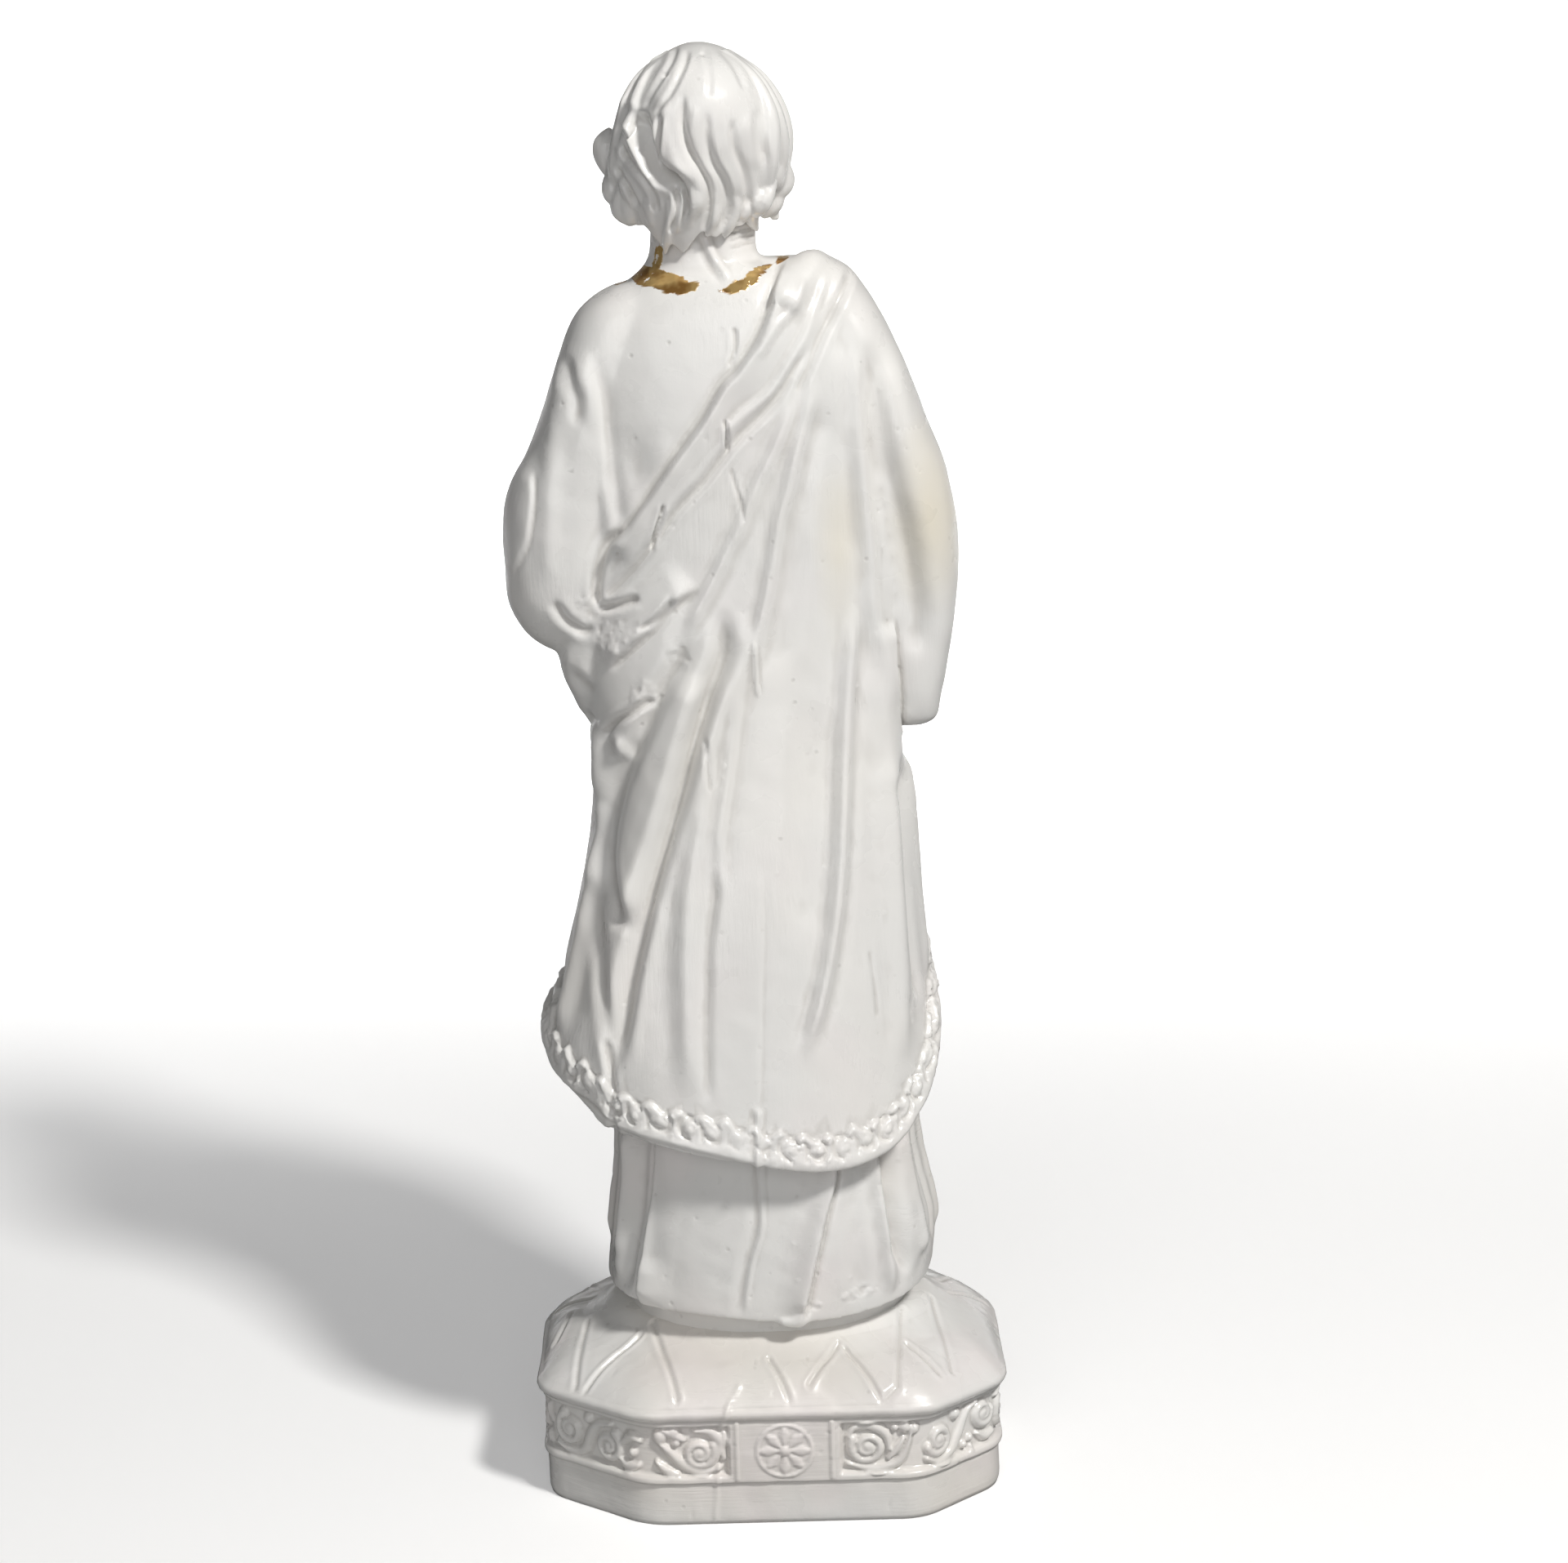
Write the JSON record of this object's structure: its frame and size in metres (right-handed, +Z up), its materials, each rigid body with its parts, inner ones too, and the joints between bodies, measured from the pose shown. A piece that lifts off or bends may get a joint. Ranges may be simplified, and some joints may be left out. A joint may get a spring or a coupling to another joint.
{
  "type": "saint statue",
  "caption": "Standing bearded saint in tunic and draped mantle, cast in one with an eight-sided scroll-carved plinth, in pearl-white painted plaster.",
  "frame": {"origin": "centre of the plinth's underside", "axes": "+Z up, the saint faces -Y, +X towards the saint's left hand"},
  "size_m": [0.0994, 0.073, 0.3],
  "materials": {
    "pearl_white_plaster": "pearl-white enamel brushed over cast plaster, with gold paint along the neckline"
  },
  "bodies": {
    "root": {"saint_statue": "pearl_white_plaster"}
  },
  "joints": []
}
